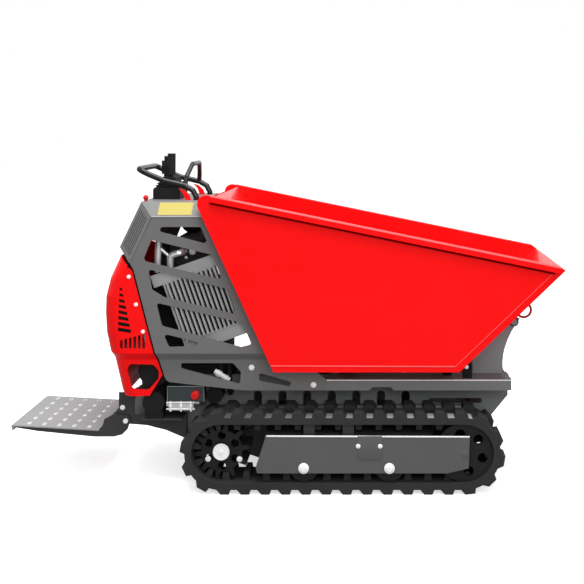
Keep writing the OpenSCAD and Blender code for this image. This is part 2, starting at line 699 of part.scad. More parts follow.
module rear_cover() framed() color("#ff1b1e") {
    gap = 3;
    edge = [[-900, 845], [-812, 838], [-757 - gap, 792], [-678 - gap, 485], [-653 - gap, 406],
        [-700, 331], [-900, 320]];
    window = [[-787, 428], [-775, 446], [-690, 443], [-670, 420], [-672, 392], [-708, 352], [-768, 355]];
    difference() {
        intersection() {
            difference() {
                cover_body(0);
                cover_body(cover_t);
            }
            slab(edge, -panel_half - 10, panel_half + 10);
        }
        slab(rounded(window, 16), -panel_half - 20, panel_half + 20);
        // Slanted slots and upright slots in both flanks
        for (i = [0:7])
            slab([[-807 - i * 0.9, 729 - i * 20.6], [-797 + i * 4.5, 725 - i * 21.2],
                  [-796 + i * 4.5, 715 - i * 21.7], [-806 - i * 0.9, 719 - i * 21.2]],
                      -panel_half - 20, panel_half + 20);
        for (i = [0:5])
            slab([[-805 + i * 16.2, 508], [-795 + i * 16.2, 508], [-795 + i * 16.2, 540 + i * 4.2],
                  [-805 + i * 16.2, 538 + i * 4.2]], -panel_half - 20, panel_half + 20);
        // Slots in the rear face
        for (i = [0:6]) translate([-900, -110, 560 + i * 30]) cube([120, 220, 12]);
    }
}

module engine() framed() color("#303030") {
    for (y = [20 - engine_half, engine_half - 60]) slab([[-700, shelf_z], [-450, shelf_z], [-450, 300], [-700, 300]], y, y + 40);
    slab([[-710, 300], [-450, 300], [-450, 700], [-640, 740], [-710, 700]], -engine_half, engine_half);
    // Housing of the starter, seen through the rear cover's window
    bar_y([-706, 402], 58, 80 - rail_half, rail_half - 80);
    // Silencer on its bracket, with a plate over its end
    slab([[-620, 735.8], [-560, 723.2], [-560, 795], [-620, 795]], -60, 60);
    bar_y([-590, 850], 55, -silencer_end, silencer_end - 40);
    slab([[-608, 884], [-498, 842], [-512, 806], [-622, 800]], -silencer_end - 6, -silencer_end);
}

module exhaust() framed() color("#b5b5b5") {
    reach = rail_half - 26;
    pipe(bent([[-590, -silencer_end - 6, 850], [-590, -reach, 850], [-634, -reach, 838], [-634, -reach, 764]], 18),
        13, [0, 0, 1]);
    bar([-682, -reach, 776], [-676, -reach, 900], 12);
    bar([-677, -reach, 870], [-634, -reach, 830], 6);
    bar([-682, -reach, 790], [-634, -reach, 770], 7);
}

// Ribbed guards behind the cutouts, turned parallel to the skip's rear wall
guard_turn = 19.5;
module turned(y0, y1) translate([-703, 0, 764]) rotate([0, -guard_turn, 0]) slab2(y0, y1) children();

module ribbed_guards() both_sides() framed() color("#8a8a8a") {
    guard_w = 262;
    guard_l = 312;
    rib_pitch = 16.3;
    plate_y = rail_half - 8;
    field = [[42, -264], [guard_w - 6, -46]];
    turned(plate_y, plate_y + 6) difference() {
        polygon([[0, 0], [guard_w, 0], [guard_w + 28, -guard_l], [34, -guard_l], [34, -45], [0, -45]]);
        translate(field[0]) square(field[1] - field[0]);
    }
    turned(plate_y, plate_y + 18)
        for (u = [field[0].x + 6:rib_pitch:field[1].x - 6])
            translate([u, field[0].y - 4]) square([7, field[1].y - field[0].y + 8]);
    for (at = [[-552, 781], [-455, 531]]) bar_y(at, 5, plate_y + 6, panel_half - sheet_t);
}

module battery_box() framed() color("#9aa3a2") {
    near = near_half;
    translate([-642, -near, 308]) cube([135, 50, 55]);
    bar_y([-537, 334], 14, -near - 18, -near);
}

valve_z = 273;
module valve_block() framed() color("#c9cccc") {
    near = rail_half - 15;
    translate([-638, -near, valve_z]) cube([91, 40, 34]);
    translate([-632, -near - 4, valve_z + 6]) cube([79, 8, 20]);
    bar([-648, 20 - near, valve_z + 17], [-638, 20 - near, valve_z + 17], 11);
    bar([-547, 20 - near, valve_z + 24], [-528, 20 - near, valve_z + 24], 9);
}

module rear_tank() framed() color("#1c1c1c") {
    near = rail_half - 8;
    bar_y([-692, 303], 40, -near, 62 - near);
    translate([-725, 4 - near, shelf_z]) cube([66, 50, 30]);
}

module hoses() framed() color("#141414") {
    for (x = [-452, -420])
        pipe(bent([[x, -chassis_half, 320], [x, -chassis_half - 50, 320],
                   [x, -chassis_half - 50, 450], [x, -engine_half - 1, 450]], 30),
            9, [1, 0, 0], 10);
    bar_y([-474, 322], 30, -chassis_half - 67, -chassis_half);
}

// Handles and controls

module grab_bar() framed() color("#151515") {
    side = [[-553, console_z], [-553, 1045], [-566, 1070], [-595, 1087], [-671, 1105], [-727, 1128]];
    rear = [-772, 1150];
    left = [for (p = side) [p.x, bar_half, p.y]];
    right = [for (i = [len(side) - 1:-1:0]) [side[i].x, -bar_half, side[i].y]];
    corner_l = bend(left[5], [rear.x, bar_half, rear.y], [rear.x, -bar_half, rear.y], 26, 4);
    corner_r = bend([rear.x, bar_half, rear.y], [rear.x, -bar_half, rear.y], right[0], 26, 4);
    pipe(concat(left, corner_l, corner_r, right), bar_r);
    hoop = [[-596, bar_half, 1086], [-592, bar_half - 14, 1122], [-582, hoop_half, 1166]];
    pipe(bent(concat(hoop, [for (i = [2:-1:0]) [hoop[i].x, -hoop[i].y, hoop[i].z]]), 22), hoop_r, [1, 0, 0]);
}

module bar_brackets() both_sides() framed() color("#e01818")
    slab([[-594, console_z], [-572, console_z], [-580, 1054], [-597, 1070], [-619, 1078], [-602, 1058]],
         bar_half - 4, bar_half + 4);

grip_places = [[-663, -70, 1206], [-684, -30, 1195], [-702, 10, 1176]];
boot_base_z = 1073;
module control_box() framed() color("#2a2a2a")
    translate([-724, -120, console_z]) cube([102, 160, boot_base_z - console_z]);

// Grips on a shared bellows, whose folds narrow towards the top
module control_grips() framed() color("#181818") {
    folds = 5;
    fold_h = 9;
    boot_top = boot_base_z + folds * fold_h;
    for (k = [0:folds - 1]) translate([0, 0, boot_base_z + k * fold_h]) {
        inset = k * 5;
        translate([-722 + inset, -112 + inset, 0]) cube([98 - 2 * inset, 144 - 2 * inset, fold_h / 2]);
        translate([-714 + inset, -104 + inset, 0]) cube([82 - 2 * inset, 128 - 2 * inset, fold_h]);
    }
    for (g = grip_places) {
        translate([g.x, g.y, boot_top - fold_h]) cylinder(r = 7, h = 30);
        translate([g.x, g.y, boot_top + 6]) cylinder(r = 15, h = g.z - boot_top - 6);
    }
}

module brake_lever() framed() color("#c81a1e") {
    translate([-730, 25 - console_half, console_z]) cylinder(r = 6, h = 8);
    translate([-730, 25 - console_half, console_z + 13]) sphere(r = 10);
}

// Footplate, folding up about its pins

function under_tread(x) =
    tread_front.y + (x - tread_front.x) * (tread_rear.y - tread_front.y) / (tread_rear.x - tread_front.x)
        - plate_t - run_fit;
module footplate_tread() framed() color("#a5a5a5") {
    tilt = atan2(tread_rear.y - tread_front.y, tread_front.x - tread_rear.x);
    length = norm(tread_rear - tread_front);
    thick = [0, plate_t];
    difference() {
        slab([tread_front - thick, tread_front, tread_rear, [plate_rear_x, tread_rear.y - 1],
              [plate_rear_x + 5, tread_rear.y - 18], [plate_rear_x + 9, tread_rear.y - 18],
              tread_rear - thick], -arm_y - tread_out, arm_y + tread_out);
        translate([tread_front.x, 0, tread_front.y]) rotate([0, tilt, 0])
            for (col = [0:4]) for (row = [0:5])
                translate([-44 - col * 56, (row - 2.5) * 69, -20]) {
                    translate([-4, -8, 0]) cube([8, 16, 40]);
                    for (y = [-8, 8]) translate([0, y, 0]) cylinder(r = 4, h = 40);
                }
    }
}

arm_y = plate_half + 5;
module footplate_arms() framed() color("#3e3e3e") {
    pin = [plate_pin_x, plate_pin_z];
    both_sides() slab2(arm_y, arm_y + 6) difference() {
        union() {
            polygon([[-1130, 182], [-925, 162], [-849, 162], [-820, 170], [-801, 188], [-793, 209],
                [-793, 232],
                     [-802, 241], [-856, 243], [-886, 226], [-897, under_tread(-897)],
                     [-1130, under_tread(-1130)]]);
            translate(pin) circle(r = 18);
        }
        translate(pin) circle(r = plate_pin_r + run_fit);
    }
    slab([[-930, 164], [-910, 164], [-910, under_tread(-910)], [-930, under_tread(-930)]], -arm_y, arm_y);
}

module footplate_pins() both_sides() framed() color("#d8d8d8")
    bar_y([plate_pin_x, plate_pin_z], plate_pin_r, plate_half, arm_y + 11);

track(true);  // track_left
track(false);  // track_right
sprocket(true);  // sprocket_left
sprocket(false);  // sprocket_right
idler(true);  // idler_left
idler(false);  // idler_right
rollers(true);  // rollers_left
rollers(false);  // rollers_right
track_frame(true);  // track_frame_left
track_frame(false);  // track_frame_right
track_guard(true);  // track_guard_left
track_guard(false);  // track_guard_right
drive_motors();
chassis(true);  // chassis_left
chassis(false);  // chassis_right
cross_members();
skip_posts();
rest_buffers();
skip_tub();
skip_rim();
skip_hinges();
skip_ring();
skip_eye_bracket();
cylinder_barrel();
cylinder_stage();
cylinder_rod();
rear_frame();
side_panel(true);  // side_panel_left
side_panel(false);  // side_panel_right
console_hood();
rear_cover();
engine();
ribbed_guards();
exhaust();
battery_box();
valve_block();
rear_tank();
hoses();
grab_bar();
bar_brackets();
control_box();
control_grips();
brake_lever();
footplate_tread();
footplate_arms();
footplate_pins();
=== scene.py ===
# %% [markdown]
# # Tracked mini dumper
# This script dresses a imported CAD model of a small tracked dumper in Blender. The CAD frame
# fixes every place and every joint, and it already holds the main shapes. What is left to add
# here are the camera, the light, the materials and the fine detail of the surfaces. All lengths
# are in metres, X points forward to the skip, Y to the machine's left and Z up.

# %% Load the frame
import bpy, bmesh, json, math
from mathutils import Vector, Matrix


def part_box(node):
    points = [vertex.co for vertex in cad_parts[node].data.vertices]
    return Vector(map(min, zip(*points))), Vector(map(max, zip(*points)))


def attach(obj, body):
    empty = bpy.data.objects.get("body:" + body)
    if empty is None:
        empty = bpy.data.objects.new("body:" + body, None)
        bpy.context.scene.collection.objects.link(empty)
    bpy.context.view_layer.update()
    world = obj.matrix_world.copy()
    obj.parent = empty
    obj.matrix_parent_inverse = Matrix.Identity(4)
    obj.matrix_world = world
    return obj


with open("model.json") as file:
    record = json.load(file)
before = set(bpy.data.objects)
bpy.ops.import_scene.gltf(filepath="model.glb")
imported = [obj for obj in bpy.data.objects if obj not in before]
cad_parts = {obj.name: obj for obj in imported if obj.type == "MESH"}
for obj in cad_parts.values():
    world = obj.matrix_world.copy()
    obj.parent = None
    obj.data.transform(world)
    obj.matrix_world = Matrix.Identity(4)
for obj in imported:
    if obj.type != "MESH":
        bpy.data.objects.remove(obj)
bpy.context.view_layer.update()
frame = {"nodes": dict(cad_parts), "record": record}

# %% [markdown]
# ## Camera
# The photograph was taken level with the controls and square to the machine's right side. The
# picture was then cropped, so the lens is shifted instead of tilted: upright edges stay upright
# and the vanishing point lies high and to the right.

# %% Camera
CAMERA_AT = (0.329, -4.03, 1.315)
FOCAL_PX = 1033.7
PICTURE_PX = 584
VANISHING_PX = (374.0, 125.0)
SENSOR = 36.0

camera_data = bpy.data.cameras.new("photo_camera")
camera_data.sensor_width = SENSOR
camera_data.lens = FOCAL_PX / PICTURE_PX * SENSOR
camera_data.shift_x = (PICTURE_PX / 2 - VANISHING_PX[0]) / PICTURE_PX
camera_data.shift_y = (VANISHING_PX[1] - PICTURE_PX / 2) / PICTURE_PX
camera = bpy.data.objects.new("photo_camera", camera_data)
camera.location = CAMERA_AT
camera.rotation_euler = (math.radians(90), 0, 0)
bpy.context.collection.objects.link(camera)
bpy.context.scene.camera = camera
print("lens", round(camera_data.lens, 1), "mm")

# %% [markdown]
# ## Colours and small helpers
# Colours are written as sRGB hex numbers, as a colour picker shows them, and one function turns
# them into the linear values that shaders need. Another function adds a shader node, sets its
# inputs and links them, so that a material reads as a short list. Two short ones write a Math
# node and split a vector, since masks are made of little else.

# %% Helpers
def linear(hex_colour):
    parts = [int(hex_colour[i:i + 2], 16) / 255 for i in (1, 3, 5)]
    return tuple(c / 12.92 if c <= 0.04045 else ((c + 0.055) / 1.055) ** 2.4 for c in parts) + (1.0,)


def add_node(tree, kind, links=None, **settings):
    """Adds a node. settings are its own properties, links its inputs: a value or another socket."""
    node = tree.nodes.new(kind)
    for name, value in settings.items():
        setattr(node, name, value)
    for name, value in (links or {}).items():
        socket = node.inputs[name]
        if isinstance(value, bpy.types.NodeSocket):
            tree.links.new(value, socket)
        else:
            socket.default_value = value
    return node


def colour_output(mix):
    """The colour result of a Mix node, which has one result for each of its data types."""
    return [socket for socket in mix.outputs if socket.type == "RGBA"][0]


def maths(tree, operation, *values):
    """Result of a Math node."""
    return add_node(tree, "ShaderNodeMath", dict(enumerate(values)), operation=operation).outputs[0]


def split(tree, kind, output):
    """The X, Y and Z results of a node's vector."""
    return add_node(tree, "ShaderNodeSeparateXYZ", {"Vector": add_node(tree, kind).outputs[output]}).outputs


print("pure red, for example, is", linear("#ff0000"))


# %% [markdown]
# ## Floor
# The photograph shows the machine on pure white with a faint shadow. Stronger lamps would bleach
# the machine too, so the background is made white in another way: a Light Path node tells which
# kind of ray asks. Rays from the camera find a white floor. All other rays find a grey one, so
# that the light it throws back doesn't wash out the paint either.

# %% Floor
FLOOR_SEEN = (0.95, 0.95, 0.95, 1)
FLOOR_BOUNCE = (0.34, 0.34, 0.34, 1)
FLOOR_GLOW = (0.62, 0.62, 0.62, 1)
FLOOR_HALF = 30


def make_floor():
    """A large white floor, which shows the machine's soft shadow and nothing else."""
    mesh = bpy.data.meshes.new("floor")
    corners = [(x * FLOOR_HALF, y * FLOOR_HALF, 0) for x, y in ((-1, -1), (1, -1), (1, 1), (-1, 1))]
    mesh.from_pydata(corners, [], [(0, 1, 2, 3)])
    floor = bpy.data.objects.new("floor", mesh)
    bpy.context.collection.objects.link(floor)
    material = bpy.data.materials.new("studio_floor")
    material.use_nodes = True
    tree, shader = material.node_tree, material.node_tree.nodes["Principled BSDF"]
    path = add_node(tree, "ShaderNodeLightPath")
    white = add_node(tree, "ShaderNodeMix", {"Factor": path.outputs["Is Camera Ray"]}, data_type="RGBA")
    white.inputs["A"].default_value = FLOOR_BOUNCE
    white.inputs["B"].default_value = FLOOR_SEEN
    tree.links.new(colour_output(white), shader.inputs["Base Color"])
    tree.links.new(path.outputs["Is Camera Ray"], shader.inputs["Emission Strength"])
    shader.inputs["Emission Color"].default_value = FLOOR_GLOW
    shader.inputs["Roughness"].default_value = 0.9
    shader.inputs["Specular IOR Level"].default_value = 0.1
    mesh.materials.append(material)


make_floor()
print("floor of", 2 * FLOOR_HALF, "m")

# %% [markdown]
# ## Lamps and sky
# A wide lamp overhead and a weaker one in front stand for the studio's soft boxes. The sky fills
# the shadows. Rays from the camera or from a mirroring surface find it white, and rays that carry
# light find it darker. Nothing on the machine is glass, so no ray passes through a surface.

# %% Lamps and sky
SKY_LIGHT, SKY_SEEN = 0.62, 1.0
WHITE = (1, 1, 1, 1)
LAMPS = (  # name, place, what it shines at, width, watts
    ("overhead", (0.1, -0.5, 3.6), (0.1, 0, 0.5), 2.6, 150),
    ("front_fill", (1.2, -4.5, 2.6), (0, 0, 0.6), 3.0, 75),
)


def add_area(name, place, target, width, power):
    light = bpy.data.lights.new(name, "AREA")
    light.shape = "DISK"
    light.size = width
    light.energy = power
    lamp = bpy.data.objects.new(name, light)
    lamp.location = place
    lamp.rotation_euler = (Vector(target) - Vector(place)).to_track_quat("-Z", "Y").to_euler()
    bpy.context.collection.objects.link(lamp)


for lamp in LAMPS:
    add_area(*lamp)
world = bpy.data.worlds.new("studio")
bpy.context.scene.world = world
world.use_nodes = True
sky = world.node_tree
sky.nodes.clear()
path = add_node(sky, "ShaderNodeLightPath")
lit = add_node(sky, "ShaderNodeBackground", {"Color": WHITE, "Strength": SKY_LIGHT})
seen = add_node(sky, "ShaderNodeBackground", {"Color": WHITE, "Strength": SKY_SEEN})
looked_at = maths(sky, "MAXIMUM", path.outputs["Is Camera Ray"], path.outputs["Is Glossy Ray"])
mix = add_node(sky, "ShaderNodeMixShader", {"Fac": looked_at})
sky.links.new(lit.outputs[0], mix.inputs[1])
sky.links.new(seen.outputs[0], mix.inputs[2])
add_node(sky, "ShaderNodeOutputWorld", {"Surface": mix.outputs[0]})
bpy.context.scene.view_settings.view_transform = "Standard"
print("sky and", len(LAMPS), "lamps")

# %% [markdown]
# ## Materials
# Each material is a small tree on Object coordinates, whose unit is the metre, so a noise scale
# of 40 means patches of 25 mm. A coarse noise turns the colour slowly towards a dusty tone and
# changes the gloss with it. A fine noise gives the surface its grain: orange peel on paint, a
# cast skin on iron, a mottling on rubber. All the machine's materials come from one function
# and differ in a few numbers, so a change to the tree reaches them all.

# %% Material functions
POLISHED, DULLED = -0.06, 0.08
GRAIN_DEPTH = 0.001


def surface(name, colour, dusty, rough=0.45, metallic=0.0, patch=6.0, grain=220.0, bump=0.05,
            coat=0.0, mirror=0.12):
    """Colour turning towards a dusty tone in soft patches, with fine grain as bump."""
    material = bpy.data.materials.new(name)
    material.use_nodes = True
    tree, shader = material.node_tree, material.node_tree.nodes["Principled BSDF"]
    place = add_node(tree, "ShaderNodeTexCoord").outputs["Object"]
    patches = add_node(tree, "ShaderNodeTexNoise", {"Vector": place, "Scale": patch, "Detail": 5.0})
    tone = add_node(tree, "ShaderNodeMix", data_type="RGBA")
    tone.inputs["A"].default_value = linear(colour)
    tone.inputs["B"].default_value = linear(dusty)
    tree.links.new(patches.outputs["Fac"], tone.inputs["Factor"])
    fine = add_node(tree, "ShaderNodeTexNoise", {"Vector": place, "Scale": grain, "Detail": 2.0})
    relief = add_node(tree, "ShaderNodeBump", {"Height": fine.outputs["Fac"], "Strength": bump,
                                               "Distance": GRAIN_DEPTH})
    gloss = add_node(tree, "ShaderNodeMapRange", {"Value": patches.outputs["Fac"],
                                                  "To Min": rough + POLISHED, "To Max": rough + DULLED})
    tree.links.new(colour_output(tone), shader.inputs["Base Color"])
    tree.links.new(gloss.outputs[0], shader.inputs["Roughness"])
    tree.links.new(relief.outputs[0], shader.inputs["Normal"])
    shader.inputs["Metallic"].default_value = metallic
    shader.inputs["Specular IOR Level"].default_value = mirror
    shader.inputs["Coat Weight"].default_value = coat
    shader.inputs["Coat Roughness"].default_value = 0.12
    return material


MATERIALS = {
    "rubber_track": surface("rubber_track", "#2c2c2c", "#3a3a3a", 0.8, grain=90, bump=0.25),
    "dark_iron": surface("dark_iron", "#1e1e1e", "#272727", 0.55, bump=0.2),
    "dark_frame": surface("dark_frame", "#393939", "#434343", 0.45),
    "guard_grey": surface("guard_grey", "#585858", "#606060", 0.42),
    "chassis_grey": surface("chassis_grey", "#6c6e6f", "#767879", 0.42),
    # Lighter copy of the chassis grey for the posts: painted light against the skip's shade.
    "post_grey": surface("post_grey", "#84888a", "#8e9293", 0.42),
    "panel_grey": surface("panel_grey", "#6a6a6a", "#727272", 0.42),
    "red_paint": surface("red_paint", "#fc0b0d", "#ff0f11", 0.34, mirror=0.14),
    "engine_block": surface("engine_block", "#242424", "#303030", 0.6, bump=0.4, grain=60),
    "light_grey": surface("light_grey", "#a0a2a2", "#aaacac", 0.4),
    "bare_steel": surface("bare_steel", "#d8d8d8", "#e8e8e8", 0.3, metallic=0.7),
    "cast_alloy": surface("cast_alloy", "#c8cbcb", "#dadddd", 0.35, metallic=0.8, bump=0.3),
    "black_plastic": surface("black_plastic", "#181818", "#202020", 0.5, grain=400, bump=0.2),
    "black_rubber": surface("black_rubber", "#121212", "#1c1c1c", 0.7, bump=0.15),
    "black_paint": surface("black_paint", "#0e0e0e", "#171717", 0.3, coat=0.3),
    "red_plastic": surface("red_plastic", "#c4181c", "#d02024", 0.3),
    "zinc_steel": surface("zinc_steel", "#f4f4f4", "#fbfbfb", 0.35),
    "chrome_rod": surface("chrome_rod", "#d4d4d4", "#dedede", 0.12, metallic=1.0),
    "light_steel": surface("light_steel", "#8c8e90", "#98999b", 0.45),
    "box_grey": surface("box_grey", "#2c3234", "#3a4143", 0.15, coat=0.4),
    "yellow_plate": surface("yellow_plate", "#a2964d", "#aa9e55", 0.5),
    # Pale red for painted highlights on the skip's edges.
    "painted_highlight_red": surface("painted_highlight_red", "#ff5a5c", "#ff6668", 0.3),
    # Near white for painted highlights on bright edges and on the tread's collars.
    "painted_highlight_white": surface("painted_highlight_white", "#e6e6e6", "#f0f0f0", 0.35),
    # Black for the plates behind the cover's slots: painted shade.
    "painted_shade_black": surface("painted_shade_black", "#141414", "#1a1a1a", 0.7),
    "ring_red": surface("ring_red", "#96080c", "#a00c10", 0.4),
    # Black for the painted shade in the gaps round the rear cover.
    "painted_gap_shade": surface("painted_gap_shade", "#080808", "#0c0c0c", 0.8, mirror=0.0),
    # Dark red for the painted shadow under the skip's rim.
    "painted_rim_shadow": surface("painted_rim_shadow", "#640000", "#700000", 0.7, mirror=0.0),
}
slot_of = {row["node"]: row["material_slot"] for row in frame["record"]["subparts"]}
for name, part in frame["nodes"].items():
    part.data.materials.clear()
    part.data.materials.append(MATERIALS[slot_of[name]])
print(len(MATERIALS), "materials on", len(slot_of), "nodes")

# %% [markdown]
# ## Dust and painted sheen on the tracks
# Between the lugs the belt's upper face is polished and dusty, so it shows light grey where the
# lugs' tips stay black. That grey is partly dust and partly a painted sheen. Painting that by hand
# would need an image, so a mask finds the place by its shape: a face that looks up, at the belt's
# height, in one of the two rows between the lugs. The grey grows towards the front, as a painted
# sheen where the light on the belt is brighter.

# %% Track dust and painted sheen
BELT_FACE_Z = 0.273
BELT_FACE_BAND = 0.003
LOOKS_UP = 0.9
DUST_AND_SHEEN_X = (-0.35, 0.75)
DUST_AND_SHEEN_SHARE = (0.02, 1.0)
LUG_ROWS = ((0.325, 0.031), (0.212, 0.026))  # middle and half width of each row


def dust_and_sheen_on_belt(material, colour):
    """Turns the belt's upper face towards dust and painted sheen, in the rows between the lugs."""
    tree = material.node_tree
    shader = tree.nodes["Principled BSDF"]
    base = shader.inputs["Base Color"].links[0].from_socket
    place = split(tree, "ShaderNodeTexCoord", "Object")
    facing = split(tree, "ShaderNodeNewGeometry", "True Normal")
    upward = maths(tree, "GREATER_THAN", facing["Z"], LOOKS_UP)
    level = maths(tree, "COMPARE", place["Z"], BELT_FACE_Z, BELT_FACE_BAND)
    # Painted sheen: the grey grows towards the front, where the light on the belt is brighter.
    along = add_node(tree, "ShaderNodeMapRange",
                     {"Value": place["X"], "From Min": DUST_AND_SHEEN_X[0], "From Max": DUST_AND_SHEEN_X[1],
                      "To Min": DUST_AND_SHEEN_SHARE[0], "To Max": DUST_AND_SHEEN_SHARE[1]}).outputs[0]
    beside = maths(tree, "ABSOLUTE", place["Y"])
    in_rows = maths(tree, "ADD", *(maths(tree, "COMPARE", beside, row, half) for row, half in LUG_ROWS))
    here = maths(tree, "MULTIPLY", maths(tree, "MULTIPLY", upward, level), in_rows)
    amount = maths(tree, "MULTIPLY", here, along)
    dusty = add_node(tree, "ShaderNodeMix", {"Factor": amount}, data_type="RGBA")
    tree.links.new(base, [i for i in dusty.inputs if i.type == "RGBA"][0])
    dusty.inputs["B"].default_value = linear(colour)
    tree.links.new(colour_output(dusty), shader.inputs["Base Color"])


# Light grey between the lugs: dust, and a painted sheen of the light.
dust_and_sheen_on_belt(MATERIALS["rubber_track"], "#a6aaaa")
print("belt dusted at Z =", BELT_FACE_Z)

# %% [markdown]
# ## Inside of the skip
# The skip's own paint is smoother than the covers', and its end walls and floor have been rubbed
# bright by sliding loads. Seen at a grazing angle they mirror the white room and look paler. A
# thin clear coat does that by itself from any place, on every face that doesn't look sideways.
# The posts that carry the skip get a lighter copy of the chassis grey. This is painted light
# against the shade that the skip casts on them.

# %% Skip's paint
MATERIALS["skip_paint"] = surface("skip_paint", "#fc0b0d", "#ff0f11", 0.22, mirror=0.14)
COAT_OF_ENDS = 0.32
COAT_ROUGHNESS = 0.05
LOOKS_SIDEWAYS = 0.5


def gloss_the_ends(material):
    """Thin clear coat on every face that doesn't look sideways."""
    tree = material.node_tree
    sideways = maths(tree, "ABSOLUTE", split(tree, "ShaderNodeNewGeometry", "True Normal")["Y"])
    ends = maths(tree, "LESS_THAN", sideways, LOOKS_SIDEWAYS)
    shader = tree.nodes["Principled BSDF"]
    tree.links.new(maths(tree, "MULTIPLY", ends, COAT_OF_ENDS), shader.inputs["Coat Weight"])
    shader.inputs["Coat Roughness"].default_value = COAT_ROUGHNESS


gloss_the_ends(MATERIALS["skip_paint"])
for name in ("skip_tub", "skip_rim"):
    frame["nodes"][name].data.materials[0] = MATERIALS["skip_paint"]
# Posts in the lighter grey: painted light against the shade under the skip.
frame["nodes"]["skip_posts"].data.materials[0] = MATERIALS["post_grey"]
print("smoother paint on the skip")

# %% [markdown]
# ## Places and simple solids
# The CAD model was drawn with X = 0 midway between its two wheels, which is the easiest place
# to measure from in a side view. One function turns such a drawing place, in millimetres, into
# a point of the frame. The shift between the two is read from the wheels themselves, so it
# can't go stale. The other functions build the few kinds of solid that the details are made of:
# a turned one, a tube, a rounded block and a cut plate. Most details are the same on both sides
# of the machine, so there are functions that make such a pair as one piece.

# %% Places
def middle(name):
    low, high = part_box(name)
    return (Vector(low) + Vector(high)) / 2


WHEELS_MID = (middle("sprocket_left").x + middle("idler_left").x) / 2
NEAR, FAR = -1, 1
SMOOTH_UNDER = math.radians(30)


def at(x, y, z):
    """Point of the frame for a drawing place in millimetres."""
    return Vector((x / 1000 + WHEELS_MID, y / 1000, z / 1000))


def smooth_faces(mesh, angle):
    """Smooth shading, with a sharp edge wherever two faces meet at more than the angle."""
    mesh.polygons.foreach_set("use_smooth", [True] * len(mesh.polygons))
    mesh.set_sharp_from_angle(angle=angle)


def hand_over(name, mesh, material, body):
    """Makes a piece of a mesh, with one material, riding on a body of the frame."""
    mesh.materials.clear()
    mesh.materials.append(MATERIALS[material])
    piece = bpy.data.objects.new(name, mesh)
    bpy.context.collection.objects.link(piece)
    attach(piece, body)


def finish_mesh(name, bm, material, body="root"):
    """Turns a bmesh into a piece with its faces outward."""
    bmesh.ops.recalc_face_normals(bm, faces=bm.faces)
    mesh = bpy.data.meshes.new(name)
    bm.to_mesh(mesh)
    bm.free()
    smooth_faces(mesh, SMOOTH_UNDER)
    hand_over(name, mesh, material, body)


def join_rings(bm, rings):
    """Faces between each two neighbouring rings of points. A ring may be a single point."""
    for low, high in zip(rings, rings[1:]):
        for k in range(max(len(low), len(high))):
            corners = [low[k % len(low)], low[(k + 1) % len(low)],
                       high[(k + 1) % len(high)], high[k % len(high)]]
            bm.faces.new(list(dict.fromkeys(corners)))
    for ring in (rings[0], rings[-1]):
        if len(ring) > 1:
            bm.faces.new(ring)


def add_revolved(bm, profile, base, axis, steps=32):
    """Solid of revolution: profile is a list of (distance along axis, radius) from base."""
    turn = Vector((0, 0, 1)).rotation_difference(Vector(axis).normalized()).to_matrix()
    rings = []
    for along, radius in profile:
        angles = [math.tau * k / steps for k in range(steps if radius else 1)]
        rings.append([bm.verts.new(Vector(base) + turn @ Vector((
            radius * math.cos(a), radius * math.sin(a), along))) for a in angles])
    join_rings(bm, rings)


def add_tube(bm, points, radius, steps=16):
    """Round tube along a route of points, closed at its ends."""
    points = [Vector(p) for p in points]
    across = None
    rings = []
    for i, p in enumerate(points):
        ahead = (points[min(i + 1, len(points) - 1)] - points[max(i - 1, 0)]).normalized()
        seed = across if across else Vector((0, 1, 0)) if abs(ahead.y) < 0.9 else Vector((1, 0, 0))
        across = (seed - ahead * seed.dot(ahead)).normalized()
        other = ahead.cross(across)
        rings.append([bm.verts.new(p + radius * (across * math.cos(math.tau * k / steps)
                                                  + other * math.sin(math.tau * k / steps)))
                      for k in range(steps)])
    join_rings(bm, rings)


def add_block(bm, low, high, bevel):
    """Box between two corners, its edges rounded by bevel."""
    low, high = Vector(low), Vector(high)
    made = bmesh.ops.create_cube(bm, size=1.0)["verts"]
    for v in made:
        v.co = Vector(((low[i] + high[i]) / 2 + v.co[i] * (high[i] - low[i]) for i in range(3)))
    edges = {e for v in made for e in v.link_edges}
    bmesh.ops.bevel(bm, geom=list(edges), offset=bevel, segments=3, affect="EDGES", profile=0.5)


def add_prism(bm, outline, y_low, y_high):
    """Closed solid of an outline of (x, z) millimetres, drawn out between two widths."""
    layers = [[bm.verts.new(at(x, y, z)) for x, z in outline] for y in (y_low, y_high)]
    join_rings(bm, layers)


def paired_tubes(name, routes, material, body="root"):
    """Tubes on both sides, as one piece. A route is (points in millimetres, radius, steps)."""
    bm = bmesh.new()
    for side in (NEAR, FAR):
        for points, radius, steps in routes:
            add_tube(bm, [at(x, side * y, z) for x, y, z in points], radius, steps)
    finish_mesh(name, bm, material, body)


def paired_prisms(name, outline, faces, material, body="root"):
    """A plate on each side, as one piece, between two distances from the machine's middle."""
    bm = bmesh.new()
    for side in (NEAR, FAR):
        add_prism(bm, outline, side * faces[0], side * faces[1])
    finish_mesh(name, bm, material, body)


print("wheels' middle at X =", round(WHEELS_MID, 4))

# %% [markdown]
# ## Bolts
# A bolt head is a low dome with a flange. It could be copied by hand to each place, but a
# Geometry Nodes tree is easier to change: it sets one head on every point of a small point
# mesh, turned to that point's own direction, with the head's radius as a named input. The
# result is then made a plain mesh, so each body's bolts are one piece with no modifier left.

# %% Bolts
HEAD_PROFILE = [(-0.2, 1.0), (0.16, 1.0), (0.26, 0.94), (0.30, 0.80), (0.42, 0.62), (0.48, 0.45),
                (0.50, 0.0)]
HEAD_SMOOTH_UNDER = math.radians(35)


